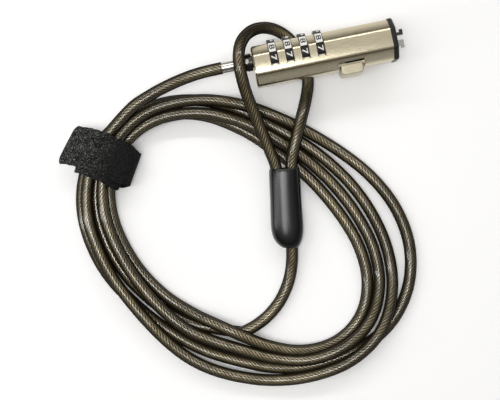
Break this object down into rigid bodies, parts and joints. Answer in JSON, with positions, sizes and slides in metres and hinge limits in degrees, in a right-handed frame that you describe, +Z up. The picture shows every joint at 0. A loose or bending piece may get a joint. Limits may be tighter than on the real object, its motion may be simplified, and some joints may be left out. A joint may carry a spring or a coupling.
{
  "type": "combination cable lock",
  "caption": "Laptop cable lock: octagonal barrel with number dials, a push button and hook head, on a coiled wire cable with a loop end and tie strap.",
  "frame": {"origin": "centre of the locking head's front face, on the barrel's axis", "axes": "+X along the barrel towards the locking head, +Y away from the push button, +Z up out of the main face with the dials"},
  "size_m": [0.1503, 0.1514, 0.0246],
  "materials": {
    "champagne_metal": "satin champagne plating",
    "black_cap": "moulded, satin",
    "dial_plastic": "moulded black with printed fields",
    "brass_parts": "turned",
    "steel_parts": "stamped",
    "bright_steel": "polished",
    "dark_metal": "black nickel",
    "zinc_frame": "die cast",
    "cable_sheath": "clear smoky sheath over wire rope",
    "black_rubber": "moulded, satin",
    "strap_fabric": "hook and loop"
  },
  "bodies": {
    "cable": {"cable_terminal": "bright_steel", "cable_lead": "cable_sheath", "cable_coil": "cable_sheath", "cable_loop": "cable_sheath", "cable_tail": "cable_sheath", "loop_sleeve": "black_rubber", "loop_crimp": "zinc_frame", "tie_strap": "strap_fabric"},
    "yoke": {"swivel_yoke": "dark_metal", "clevis_pin": "bright_steel", "retaining_ring": "steel_parts", "swivel_washer": "brass_parts"},
    "barrel": {"barrel_case": "champagne_metal", "head_cap": "black_cap", "mechanism_frame": "zinc_frame", "frame_screws": "steel_parts", "claw_pivot_pin": "steel_parts", "rear_plate": "zinc_frame", "front_plate": "zinc_frame", "dial_spindle": "steel_parts", "dial_spacers": "brass_parts", "detent_spring": "steel_parts"},
    "button": {"push_button": "champagne_metal"},
    "slider": {"claw_slider": "zinc_frame", "return_spring": "steel_parts"},
    "claw_a": {"claw_upper": "steel_parts"},
    "claw_b": {"claw_lower": "bright_steel"},
    "dial_1": {"dial_ring_1": "dial_plastic", "code_wheel_1": "brass_parts"},
    "dial_2": {"dial_ring_2": "dial_plastic", "code_wheel_2": "brass_parts"},
    "dial_3": {"dial_ring_3": "dial_plastic", "code_wheel_3": "brass_parts"},
    "dial_4": {"dial_ring_4": "dial_plastic", "code_wheel_4": "brass_parts"}
  },
  "joints": [
    {"name": "terminal_swing", "type": "hinge", "parent": "cable", "child": "yoke", "pos_m": [-0.0613, 0.0026, 0], "axis": [0, 0, 1], "range_deg": [-6, 6]},
    {"name": "barrel_swivel", "type": "hinge", "parent": "yoke", "child": "barrel", "pos_m": [-0.0588, 0.0026, 0], "axis": [1, 0, 0], "range_deg": [-90, 5]},
    {"name": "button_push", "type": "slide", "parent": "barrel", "child": "button", "axis": [0, 1, 0], "range_m": [0, 0.002], "stiffness_N_per_m": 600},
    {"name": "slider_travel", "type": "slide", "parent": "barrel", "child": "slider", "axis": [1, 0, 0], "range_m": [0, 0.002], "deforming": ["return_spring"]},
    {"name": "claw_a_turn", "type": "hinge", "parent": "barrel", "child": "claw_a", "pos_m": [-0.012, 0, 0], "axis": [0, 0, 1], "range_deg": [-2.6, 0]},
    {"name": "claw_b_turn", "type": "hinge", "parent": "barrel", "child": "claw_b", "pos_m": [-0.012, 0, 0], "axis": [0, 0, 1], "range_deg": [0, 2.6]},
    {"name": "dial_1_turn", "type": "hinge", "parent": "barrel", "child": "dial_1", "pos_m": [-0.0502, 0.0026, 0], "axis": [1, 0, 0], "continuous": true},
    {"name": "dial_2_turn", "type": "hinge", "parent": "barrel", "child": "dial_2", "pos_m": [-0.0438, 0.0026, 0], "axis": [1, 0, 0], "continuous": true},
    {"name": "dial_3_turn", "type": "hinge", "parent": "barrel", "child": "dial_3", "pos_m": [-0.0374, 0.0026, 0], "axis": [1, 0, 0], "continuous": true},
    {"name": "dial_4_turn", "type": "hinge", "parent": "barrel", "child": "dial_4", "pos_m": [-0.031, 0.0026, 0], "axis": [1, 0, 0], "continuous": true}
  ],
  "couplings": [
    {"joint": "slider_travel", "follows": "button_push", "ratio": 1},
    {"joint": "claw_a_turn", "follows": "button_push", "rad_per_m": -22.688},
    {"joint": "claw_b_turn", "follows": "button_push", "rad_per_m": 22.688}
  ]
}
